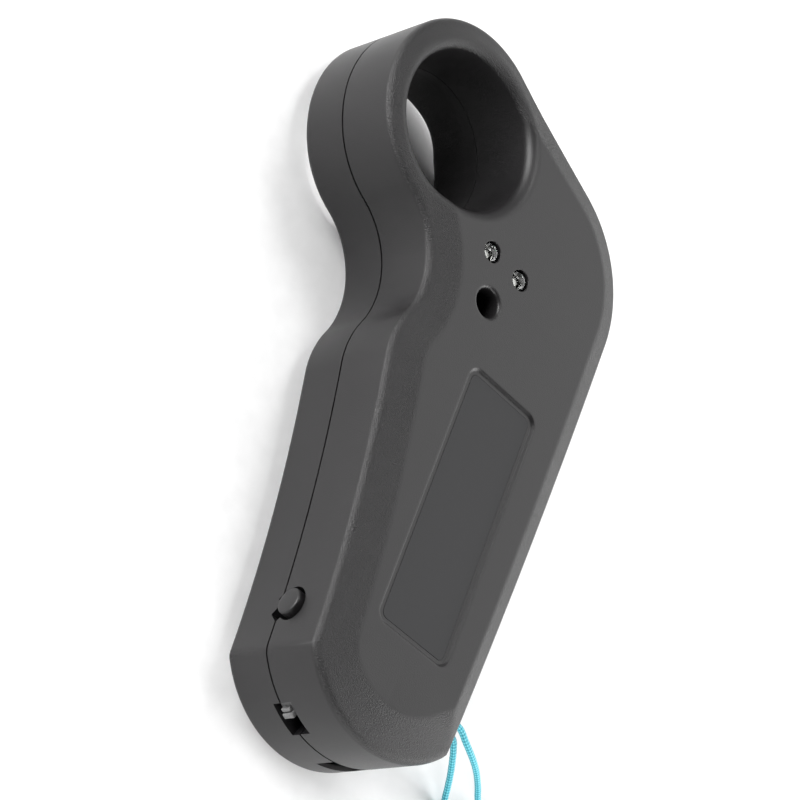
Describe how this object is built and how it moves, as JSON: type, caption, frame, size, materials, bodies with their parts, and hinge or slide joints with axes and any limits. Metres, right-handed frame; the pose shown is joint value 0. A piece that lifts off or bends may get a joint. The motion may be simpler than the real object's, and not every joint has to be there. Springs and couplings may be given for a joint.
{
  "type": "handheld remote control",
  "caption": "Flat pistol-shaped handheld remote with a finger ring, side thumb wheel, blank label panel and wrist cord.",
  "frame": {"origin": "on the surface the remote lies on, under the middle of the housing's bounding box (the wrist cord not counted)", "axes": "+Y from the grip to the finger ring, +Z out of the face with the two lamps, +X towards the palm side; the remote lies on its rear face"},
  "size_m": [0.0925, 0.1145, 0.0228],
  "materials": {
    "shell_abs": "fine spark-eroded matte",
    "label_film": "smooth satin",
    "wheel_rubber": "ribbed matte",
    "plain_steel": "satin",
    "black_steel": "black oxide",
    "lamp_clear": "clear moulded epoxy",
    "board_green": "solder mask",
    "chip_black": "moulded epoxy",
    "foil": "foil pouch",
    "white_nylon": "moulded",
    "grey_knob": "moulded",
    "lead_red": "PVC sleeve",
    "cord_nylon": "braided nylon"
  },
  "bodies": {
    "housing": {"front_shell": "shell_abs", "rear_shell": "shell_abs", "label_plate": "label_film", "screw_upper": "black_steel", "screw_middle": "black_steel", "screw_lower": "black_steel", "lamp_power": "lamp_clear", "lamp_link": "lamp_clear", "main_board": "board_green", "control_chip": "chip_black", "radio_module": "board_green", "radio_shield": "foil", "hall_sensor": "chip_black", "tact_switch": "chip_black", "battery_cell": "foil", "battery_plug": "white_nylon", "battery_lead_red": "lead_red", "battery_lead_black": "chip_black", "charge_socket": "plain_steel", "power_switch_body": "black_steel", "wheel_axle": "plain_steel", "wheel_spring": "plain_steel", "lanyard_pin": "plain_steel", "wrist_cord_lead_a": "cord_nylon", "wrist_cord_lead_b": "cord_nylon", "wrist_cord_coil": "cord_nylon"},
    "wheel": {"throttle_wheel": "wheel_rubber", "wheel_magnet": "plain_steel"},
    "button": {"pairing_button": "shell_abs"},
    "switch_knob": {"power_switch_knob": "grey_knob"}
  },
  "joints": [
    {"name": "throttle_turn", "type": "hinge", "parent": "housing", "child": "wheel", "pos_m": [0.01542, 0.03865, 0.0114], "axis": [0, 0, 1], "range_deg": [-32, 32], "stiffness_Nm_per_rad": 0.06},
    {"name": "pairing_press", "type": "slide", "parent": "housing", "child": "button", "axis": [1, 0, 0], "range_m": [0, 0.0005], "stiffness_N_per_m": 900},
    {"name": "power_slide", "type": "slide", "parent": "housing", "child": "switch_knob", "axis": [0.9272, -0.3746, 0], "range_m": [0, 0.002]}
  ]
}
